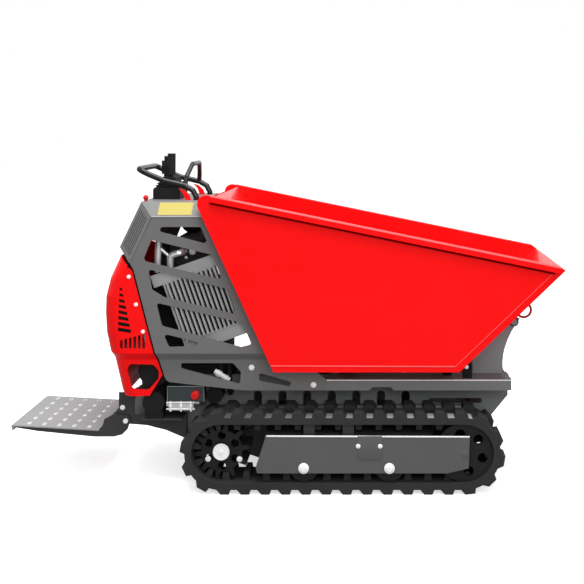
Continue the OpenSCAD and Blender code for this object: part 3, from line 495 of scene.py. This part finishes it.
def bolt_head():
    """Head with a radius of 1, looking up."""
    bm = bmesh.new()
    add_revolved(bm, HEAD_PROFILE, (0, 0, 0), (0, 0, 1), 24)
    bmesh.ops.recalc_face_normals(bm, faces=bm.faces)
    mesh = bpy.data.meshes.new("bolt_head")
    bm.to_mesh(mesh)
    bm.free()
    smooth_faces(mesh, HEAD_SMOOTH_UNDER)
    return bpy.data.objects.new("bolt_head", mesh)


HEAD = bolt_head()


def new_tree(name, inputs):
    """Geometry Nodes group with a geometry in and out, and the named inputs between them."""
    tree = bpy.data.node_groups.new(name, "GeometryNodeTree")
    for title, kind in (("Geometry", "NodeSocketGeometry"),) + inputs:
        tree.interface.new_socket(title, in_out="INPUT", socket_type=kind)
    tree.interface.new_socket("Geometry", in_out="OUTPUT", socket_type="NodeSocketGeometry")
    return tree, add_node(tree, "NodeGroupInput")


def end_tree(tree, instances, material):
    """Makes the instances real, gives them the material and ends the tree."""
    real = add_node(tree, "GeometryNodeRealizeInstances", {"Geometry": instances.outputs["Instances"]})
    coloured = add_node(tree, "GeometryNodeSetMaterial",
                        {"Geometry": real.outputs[0], "Material": material})
    add_node(tree, "NodeGroupOutput", {"Geometry": coloured.outputs[0]})
    return tree


def apply_tree(name, start, tree, values):
    """Runs a tree on a start mesh and returns the result as a plain mesh."""
    holder = bpy.data.objects.new(name + "_start", start)
    bpy.context.collection.objects.link(holder)
    maker = holder.modifiers.new(tree.name, "NODES")
    maker.node_group = tree
    for item in tree.interface.items_tree:
        if item.name in values:
            maker[item.identifier] = values[item.name]
    bpy.context.view_layer.update()
    depsgraph = bpy.context.evaluated_depsgraph_get()
    mesh = bpy.data.meshes.new_from_object(holder.evaluated_get(depsgraph))
    bpy.data.objects.remove(holder)
    return mesh


def bolt_tree(material):
    tree, given = new_tree("bolts", (("Radius", "NodeSocketFloat"),))
    head = add_node(tree, "GeometryNodeObjectInfo", {"Object": HEAD})
    facing = add_node(tree, "GeometryNodeInputNamedAttribute", {"Name": "facing"},
                      data_type="FLOAT_VECTOR")
    turn = add_node(tree, "FunctionNodeAlignRotationToVector",
                    {"Vector": facing.outputs["Attribute"]}, axis="Z")
    heads = add_node(tree, "GeometryNodeInstanceOnPoints",
                     {"Points": given.outputs["Geometry"], "Instance": head.outputs["Geometry"],
                      "Rotation": turn.outputs["Rotation"], "Scale": given.outputs["Radius"]})
    return end_tree(tree, heads, material)


def add_bolts(name, radius, places, sides=(NEAR, FAR), material="zinc_steel"):
    """A bolt at each place (x, y, z in millimetres) on each of the sides, facing outward."""
    cloud = bpy.data.meshes.new(name)
    cloud.from_pydata([at(x, side * y, z) for x, y, z in places for side in sides], [], [])
    facing = cloud.attributes.new("facing", "FLOAT_VECTOR", "POINT")
    for i in range(len(cloud.vertices)):
        facing.data[i].vector = (0, sides[i % len(sides)], 0)
    mesh = apply_tree(name, cloud, bolt_tree(MATERIALS[material]), {"Radius": radius})
    hand_over(name, mesh, material, "root")


# Distances of the faces from the machine's middle, in millimetres
GUARD_FACE, PANEL_FACE, RAIL_FACE = 354, 300, 270
BUFFER_FACE, SILENCER_FACE, FRAME_FACE = 245, 206, 194
add_bolts("panel_bolts", 0.0105, ((-333, RAIL_FACE, 433), (-108, RAIL_FACE, 370)))
add_bolts("cover_bolts", 0.0072,
          ((-773, PANEL_FACE, 767), (-747, PANEL_FACE, 667), (-722, PANEL_FACE, 569)))
add_bolts("footplate_bolts", 0.0095, ((-821, FRAME_FACE, 267),))
add_bolts("buffer_bolts", 0.0075, ((451, BUFFER_FACE, 429),))
add_bolts("silencer_bolt", 0.013, ((-559, SILENCER_FACE, 848),), (NEAR,))
add_bolts("silencer_screw", 0.0055, ((-583, SILENCER_FACE, 825),), (NEAR,))
add_bolts("guard_bolts", 0.0085, ((56, GUARD_FACE, 173), (134, GUARD_FACE, 173)))
print("bolts set")

# %% [markdown]
# ## Hub and roller caps
# The sprocket's hub ends in a flat zinc cap with a raised rim and a nipple, and each roller's axle
# in a stepped one. A profile turned round the axle gives both, as a lathe would. The idler's axle
# ends flush with the guard, under a thin grey cap.

# %% Caps
HUB_CAP = [(0, 0.0300), (0.004, 0.0300), (0.0062, 0.0285), (0.0066, 0.0266), (0.0056, 0.0252),
           (0.0056, 0.0090), (0.0085, 0.0072), (0.0095, 0)]
ROLLER_CAP = [(-0.004, 0.0190), (0.002, 0.0190), (0.0042, 0.0168), (0.0044, 0.0125), (0.0095, 0.0112),
              (0.0110, 0.0090), (0.0110, 0)]
IDLER_CAP = [(-0.001, 0.0130), (0.0012, 0.0130), (0.0016, 0.0122), (0.0016, 0)]
ROLLER_PLACES, ROLLER_FACE = ((-138, 95), (167, 95)), 358
IDLER_PLACE = (434, 145)
hub = middle("sprocket_left")
hub_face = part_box("sprocket_left")[1][1]
zinc, grey = bmesh.new(), bmesh.new()
for side in (NEAR, FAR):
    outward = (0, side, 0)
    add_revolved(zinc, HUB_CAP, (hub.x, side * hub_face, hub.z), outward, 48)
    for x, z in ROLLER_PLACES:
        add_revolved(zinc, ROLLER_CAP, at(x, side * ROLLER_FACE, z), outward, 32)
    add_revolved(grey, IDLER_CAP, at(IDLER_PLACE[0], side * GUARD_FACE, IDLER_PLACE[1]), outward, 32)
finish_mesh("axle_caps", zinc, "zinc_steel")
finish_mesh("idler_caps", grey, "guard_grey")
print("caps on hubs, rollers and idlers")

# %% [markdown]
# ## Skip
# The skip's side walls are folded round a stiffening field, which shows as a fine bright line
# along the front edge and the floor. A thin pale red bead that is half sunk in the wall paints that
# line as a highlight, where a bevel on the wall itself would change a solid of the frame. Pale red
# beads on the rim's upper edges paint their highlights, and a dark red bead below the rim paints
# its shadow. Inside the rear wall lies a box rail, level with the rim. The half rings on the front
# wall carry a thick dark paint.

# %% Skip
SKIP_FACE, RIM_FACE = 345, 357
FRONT_FOLD = (753, SKIP_FACE, 787), (403, SKIP_FACE, 454)
FLOOR_FOLD = (401, SKIP_FACE, 453.5), (-256, SKIP_FACE, 456)
# Pale red beads: painted highlights on the folds of the side walls.
paired_tubes("skip_beads", ((FRONT_FOLD, 0.0010, 10), (FLOOR_FOLD, 0.0020, 10)), "painted_highlight_red", "skip")

RIM_REAR, RIM_FRONT, RIM_SHADOW_FRONT = (-470, 1062), (780, 807), (756, 812)


def rim_line(y, drop, front=RIM_FRONT):
    """Two points along the rim, at a distance from the middle and a drop below its upper edge."""
    return [(x, y, z - drop) for x, z in (RIM_REAR, front)]


# Pale red beads along the rim's upper edges: painted highlights.
paired_tubes("rim_edges", ((rim_line(RIM_FACE - 1.5, 1.5), 0.0026, 10),
                           (rim_line(SKIP_FACE - 3, -0.5), 0.0024, 10)), "painted_highlight_red", "skip")
# Dark red bead under the rim: painted shadow of the rim.
paired_tubes("rim_joints", ((rim_line(RIM_FACE - 5, 23.5, RIM_SHADOW_FRONT), 0.0055, 12),),
             "painted_rim_shadow", "skip")

RAIL_OUTLINE = (-458, 1057), (-425, 985), (-493, 985), (-521, 1030)
RAIL_END = 340.5
bm = bmesh.new()
add_prism(bm, RAIL_OUTLINE, -RAIL_END, RAIL_END)
finish_mesh("rear_rail", bm, "skip_paint", "skip")

RING_X, RING_Y, RING_Z, RING_RADIUS, RING_THICK = 647.4, 332, 653.7, 0.026, 0.0044
UP_THE_FRONT, OFF_THE_FRONT = Vector((0.722, 0, 0.692)), Vector((0.692, 0, -0.722))
half_turn = [math.pi * k / 16 for k in range(17)]
half_ring = [(UP_THE_FRONT * math.cos(t) + OFF_THE_FRONT * math.sin(t)) * RING_RADIUS for t in half_turn]
bm = bmesh.new()
for side in (NEAR, FAR):
    add_tube(bm, [at(RING_X, side * RING_Y, RING_Z) + out for out in half_ring], RING_THICK, 12)
finish_mesh("ring_coats", bm, "ring_red", "skip")
print("beads, rim edges, rear rail and rings on the skip")

# %% [markdown]
# ## Bright edges and seams
# Folded sheet catches the light on its bends. The rail's top edge and the track guard's top edge
# are such lines, and thin near white beads paint them as highlights. Where two folds of the body
# meet, a bead of the same grey closes the seam, as a weld does. The gap between the rear cover and
# the side panels lies in shade, and a black bead paints that shade as a line, which steps in below
# the waist. A pale grey bead along the foot of the console's chamfer paints the highlight on that
# fold, and fine louvre lines run down the hood's rear corners.

# %% Edges
RAIL_EDGE = (-60, 269, 386.5), (611, 269, 386.5)
GUARD_EDGE = (-271, 353, 208), (452, 353, 205.5)
# Near white beads: painted highlights on the rail's and the guard's top edges.
paired_tubes("bright_edges", ((RAIL_EDGE, 0.0022, 10), (GUARD_EDGE, 0.0030, 10)), "painted_highlight_white")

SEAM = (-771, 298.5, 817), (-693, 298.5, 982), (-510, 298.5, 982)
paired_tubes("body_seams", ((SEAM, 0.0028, 10),), "panel_grey")

# Black bead in the gap: painted shade between the rear cover and the side panels.
COVER_GAP_SHADE = ((-778, 299.5, 808), (-758.5, 300, 792), (-680.5, 300, 490), (-673, 270.5, 462),
             (-654.5, 270, 406), (-700, 270, 331))
paired_tubes("cover_gaps", ((COVER_GAP_SHADE, 0.0026, 10),), "painted_gap_shade")

# Pale grey bead: painted highlight along the foot of the console's chamfer.
CONSOLE_FOLD_HIGHLIGHT = (-692, 299.5, 984), (-512, 299.5, 984)
paired_tubes("console_folds", ((CONSOLE_FOLD_HIGHLIGHT, 0.0018, 10),), "light_grey")

HOOD_CORNER = Vector((-741, 240, 1034))
HOOD_ACROSS, HOOD_FALL = Vector((48, 60, -50)), Vector((-79, 0, -166))
LOUVRES = 6
louvres = []
for k in range(LOUVRES):
    share = 0.2 + 0.6 * k / (LOUVRES - 1)
    ends = [HOOD_CORNER + HOOD_ACROSS * share + HOOD_FALL * down for down in (0.1, 0.9)]
    louvres.append((ends, 0.0014, 8))
paired_tubes("hood_louvres", louvres, "dark_frame")
print("bright edges, seams, gaps and louvres")

# %% [markdown]
# ## Painted shade behind the cover's slots
# Through the slots of the red cover one sees nothing but dark, the shade inside the body. Thin
# matt black plates behind the slots of the sides and of the rear face paint that shade, and keep
# the white background out of them.

# %% Shade plates
# Black plates behind the slots: painted shade of the body's inside.
SIDE_SHADE_PLATE = (-822, 735), (-775, 735), (-727, 545), (-822, 545)
CORNER_SHADE_PLATE = (-784, 822), (-752, 794), (-752, 770), (-784, 796)
SHADE_PLATE_FACES = 290, 293
REAR_SHADE_PLATE = (-824, -125, 548), (-818, 125, 766)
bm = bmesh.new()
for side in (NEAR, FAR):
    for outline in (SIDE_SHADE_PLATE, CORNER_SHADE_PLATE):
        add_prism(bm, outline, side * SHADE_PLATE_FACES[0], side * SHADE_PLATE_FACES[1])
add_block(bm, at(*REAR_SHADE_PLATE[0]), at(*REAR_SHADE_PLATE[1]), 0.001)
finish_mesh("cover_liners", bm, "painted_shade_black")
print("liners behind the cover")

# %% [markdown]
# ## Small parts on the near side
# The blank yellow plate lies on the console's chamfer. The battery box below the panel carries a
# red knob, and a pale grey bead along its face's edges paints the highlight on them. The valve
# block under it has its rods, ports and plugs, and a bracket carries both from the engine. A bright
# coupling joins the hoses behind the panel.

# %% Near side
CHAMFER_TOP, CHAMFER_FOOT = (-240, 1034), (-300, 984)
PLATE_X, PLATE_SHARE, PLATE_LIFT = (-671, -548), (0.08, 0.9), (-0.3, 1.3)
TOWARDS_CAMERA = (0, -1, 0)


def chamfer_point(x, share, lift):
    """Point on the console's chamfer, share of the way down it and lift millimetres off it."""
    fall = Vector((0, CHAMFER_FOOT[0] - CHAMFER_TOP[0], CHAMFER_FOOT[1] - CHAMFER_TOP[1]))
    out = Vector((0, fall.z, -fall.y)).normalized()
    y = CHAMFER_TOP[0] + fall.y * share + out.y * lift
    return at(x, y, CHAMFER_TOP[1] + fall.z * share + out.z * lift)


bm = bmesh.new()
around = [(PLATE_X[i], PLATE_SHARE[j]) for i, j in ((0, 0), (1, 0), (1, 1), (0, 1))]
join_rings(bm, [[bm.verts.new(chamfer_point(x, share, lift)) for x, share in around]
                for lift in PLATE_LIFT])
finish_mesh("yellow_plate", bm, "yellow_plate")

KNOB = [(0, 0.0150), (0.004, 0.0150), (0.006, 0.0135), (0.010, 0.0135), (0.012, 0.0110), (0.0125, 0)]
KNOB_STEM = [(-0.018, 0.0145), (0, 0.0145)]
knob_place = at(-537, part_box("battery_box")[0][1] * 1000, 334)
bm = bmesh.new()
for profile in (KNOB, KNOB_STEM):
    add_revolved(bm, profile, knob_place, TOWARDS_CAMERA, 28)
finish_mesh("red_knob", bm, "red_plastic")

COUPLING_Y = -228
COUPLING = (  # two ends (x, z), radius, sides
    ((-474, 411), (-420, 376), 0.0095, 20),
    ((-466, 406), (-452, 397), 0.0125, 6),
    ((-436, 386), (-428, 381), 0.0125, 6),
)
bm = bmesh.new()
for (x1, z1), (x2, z2), radius, sides in COUPLING:
    add_tube(bm, [at(x1, COUPLING_Y, z1), at(x2, COUPLING_Y, z2)], radius, sides)
finish_mesh("hose_coupling", bm, "zinc_steel")

# Pale grey bead along the box's edges: painted highlight.
BOX_EDGE_HIGHLIGHT, BOX_EDGE_HIGHLIGHT_Y = ((-641, 309), (-641, 362), (-508, 362), (-508, 309)), -262
bm = bmesh.new()
add_tube(bm, [at(x, BOX_EDGE_HIGHLIGHT_Y, z) for x, z in BOX_EDGE_HIGHLIGHT], 0.0010, 8)
finish_mesh("box_lip", bm, "light_grey")

BRACKET = ((-640, -212, 278), (-510, -207, 360)), ((-600, -209, 312), (-560, -144, 324))
bm = bmesh.new()
for low, high in BRACKET:
    add_block(bm, at(*low), at(*high), 0.001)
finish_mesh("battery_bracket", bm, "dark_frame")

VALVE_FACE = -260
VALVE_RODS, VALVE_ROD_ENDS = (279, 303), (-645, -541)
VALVE_PORTS, VALVE_PORT_ENDS = (-630, -592, -556), (270, 310)
PLUG_Z, PLUG = 291, [(0, 0.0052), (0.004, 0.0052), (0.005, 0.004), (0.005, 0)]
bm = bmesh.new()
for z in VALVE_RODS:
    add_tube(bm, [at(x, VALVE_FACE, z) for x in VALVE_ROD_ENDS], 0.0026, 12)
for x in VALVE_PORTS:
    add_tube(bm, [at(x, VALVE_FACE + 1, z) for z in VALVE_PORT_ENDS], 0.0032, 6)
    add_revolved(bm, PLUG, at(x, VALVE_FACE, PLUG_Z), TOWARDS_CAMERA, 20)
finish_mesh("valve_fittings", bm, "zinc_steel")
print("plate, knob, coupling, battery box and valve")

# %% [markdown]
# ## Engine bay
# Through the upper cutouts one sees the top of the engine: a drum-shaped air filter on the
# silencer and the cowling of its fan. They are dark, and give the openings their depth.

# %% Engine bay
FILTER = [(-0.085, 0), (-0.085, 0.030), (-0.078, 0.036), (-0.020, 0.036), (-0.018, 0.0385),
          (-0.012, 0.0385), (-0.010, 0.036), (0.078, 0.036), (0.085, 0.030), (0.085, 0)]
COWLING = (-722, -90, 706), (-672, 90, 872)
bm = bmesh.new()
add_revolved(bm, FILTER, at(-588, 0, 940), (0, 1, 0), 40)
finish_mesh("air_filter", bm, "black_plastic")
bm = bmesh.new()
add_block(bm, at(*COWLING[0]), at(*COWLING[1]), 0.006)
finish_mesh("fan_cowling", bm, "engine_block")
print("air filter and cowling")

# %% [markdown]
# ## Rows of like things
# The engine's cooling fins and the raised rims round the footplate's holes are rows. A second
# Geometry Nodes tree lays one small shape on a flat grid, whose counts and sizes are named
# inputs, and a matrix then moves the whole row to its place.

# %% Grid tree
def grid_tree(shape, material):
    tree, given = new_tree("rows", (("Columns", "NodeSocketInt"), ("Rows", "NodeSocketInt"),
                                    ("Width", "NodeSocketFloat"), ("Depth", "NodeSocketFloat")))
    grid = add_node(tree, "GeometryNodeMeshGrid",
                    {"Size X": given.outputs["Width"], "Size Y": given.outputs["Depth"],
                     "Vertices X": given.outputs["Columns"], "Vertices Y": given.outputs["Rows"]})
    one = add_node(tree, "GeometryNodeObjectInfo", {"Object": shape})
    many = add_node(tree, "GeometryNodeInstanceOnPoints",
                    {"Points": grid.outputs["Mesh"], "Instance": one.outputs["Geometry"]})
    return end_tree(tree, many, material)


def lay_rows(name, bm, counts, size, placing, material, body="root"):
    """Repeats the shape in bm on a flat grid, then moves the whole by the matrix placing."""
    bmesh.ops.recalc_face_normals(bm, faces=bm.faces)
    shape_mesh = bpy.data.meshes.new(name + "_one")
    bm.to_mesh(shape_mesh)
    bm.free()
    shape = bpy.data.objects.new(name + "_one", shape_mesh)
    values = {"Columns": counts[0], "Rows": counts[1], "Width": size[0], "Depth": size[1]}
    mesh = apply_tree(name, bpy.data.meshes.new(name + "_grid"),
                      grid_tree(shape, MATERIALS[material]), values)
    mesh.transform(placing)
    hand_over(name, mesh, material, body)


print("tree for rows ready")

# %% [markdown]
# ## Cooling fins
# An air-cooled engine has thin fins round its cylinder. They show as a dark stack through the
# cutouts, so one long fin is repeated up each side of the engine's block.

# %% Fins
FIN_COUNT, FIN_PITCH = 22, 0.016
FIN = (-0.12, -0.002, -0.010), (0.12, 0.002, 0.006)
ENGINE_FACE = 146
for side, tag in ((NEAR, "right"), (FAR, "left")):
    bm = bmesh.new()
    add_block(bm, *FIN, 0.001)
    # The grid lies in XY. Turned about X, its rows go up the engine's side.
    placing = Matrix.Translation(at(-580, side * ENGINE_FACE, 500)) @ Matrix.Rotation(math.pi / 2, 4, "X")
    lay_rows("engine_fins_" + tag, bm, (1, FIN_COUNT), (0, FIN_PITCH * (FIN_COUNT - 1)), placing,
             "engine_block")
print(FIN_COUNT, "fins a side")

# %% [markdown]
# ## Footplate
# The tread's holes are pressed through upward, so that each has a raised collar which grips a
# boot. Each collar is near white, a painted highlight on its rim. One collar is turned, pulled
# long to fit the long hole, and laid on the tread's slope in rows. Below, dark flanges run the arms
# on under the tread's sides, and a gusset stands at each pin on the machine's own frame.

# %% Footplate
COLLAR = [(-0.0030, 0.0041), (0.0, 0.0041), (0.0, 0.0064), (0.0005, 0.0062), (0.0006, 0.0041),
          (0.0002, 0.0037), (-0.0030, 0.0037), (-0.0030, 0.0041)]
HOLE_STRETCH = 0.008
TREAD_FRONT, TREAD_REAR = (-906, 188), (-1218, 205)
FIRST_HOLE = 44
TREAD_STEP, TREAD_COLUMNS, TREAD_ROWS = (56, 69), 5, 6
bm = bmesh.new()
add_revolved(bm, COLLAR, (0, 0, 0), (0, 0, 1), 20)
# The profile is a closed loop: its two end discs go, and its first and last rings join
bmesh.ops.delete(bm, geom=[f for f in bm.faces if len(f.verts) > 4], context="FACES_ONLY")
bmesh.ops.remove_doubles(bm, verts=bm.verts, dist=1e-6)
for vert in bm.verts:
    vert.co.y += math.copysign(HOLE_STRETCH, vert.co.y)
length, width = TREAD_STEP[0] * (TREAD_COLUMNS - 1), TREAD_STEP[1] * (TREAD_ROWS - 1)
slope = math.atan2(TREAD_REAR[1] - TREAD_FRONT[1], TREAD_FRONT[0] - TREAD_REAR[0])
placing = (Matrix.Translation(at(TREAD_FRONT[0], 0, TREAD_FRONT[1])) @ Matrix.Rotation(slope, 4, "Y")
           @ Matrix.Translation(Vector((-FIRST_HOLE - length / 2, 0, 0)) / 1000))
# The collars' near white: painted highlight on their rims.
lay_rows("tread_rims", bm, (TREAD_COLUMNS, TREAD_ROWS), (length / 1000, width / 1000), placing,
         "painted_highlight_white", "footplate")

FLANGE, FLANGE_FACES = ((-1130, 182), (-1212, 195), (-1212, 201.5), (-1130, 197)), (199, 205)
GUSSET, GUSSET_FACES = ((-846, 232), (-818, 232), (-818, 262), (-846, 252)), (186, 193)
paired_prisms("tread_flanges", FLANGE, FLANGE_FACES, "dark_frame", "footplate")
paired_prisms("pin_gussets", GUSSET, GUSSET_FACES, "dark_frame")
print(TREAD_COLUMNS * TREAD_ROWS, "rims, two flanges and two gussets")

# %% [markdown]
# ## Guard covers and wheel bolts
# A thin square cover with two bolts stands on the middle of each track guard. The sprocket's disc
# is held by a ring of bolts, of which two show beside the guard's rear end.

# %% Guard covers and wheel bolts
COVER_X, COVER_Z, COVER_FACES = (53, 141), (125, 209), (353, 356)
bm = bmesh.new()
for side in (NEAR, FAR):
    y_low, y_high = sorted(side * y for y in COVER_FACES)
    add_block(bm, at(COVER_X[0], y_low, COVER_Z[0]), at(COVER_X[1], y_high, COVER_Z[1]), 0.0012)
finish_mesh("guard_covers", bm, "guard_grey")
DISC_BEHIND_HUB = 12
disc_face = hub_face * 1000 - DISC_BEHIND_HUB
add_bolts("sprocket_bolts", 0.0105, ((-484, disc_face, 116), (-371, disc_face, 115)))
print("guard covers and wheel bolts")
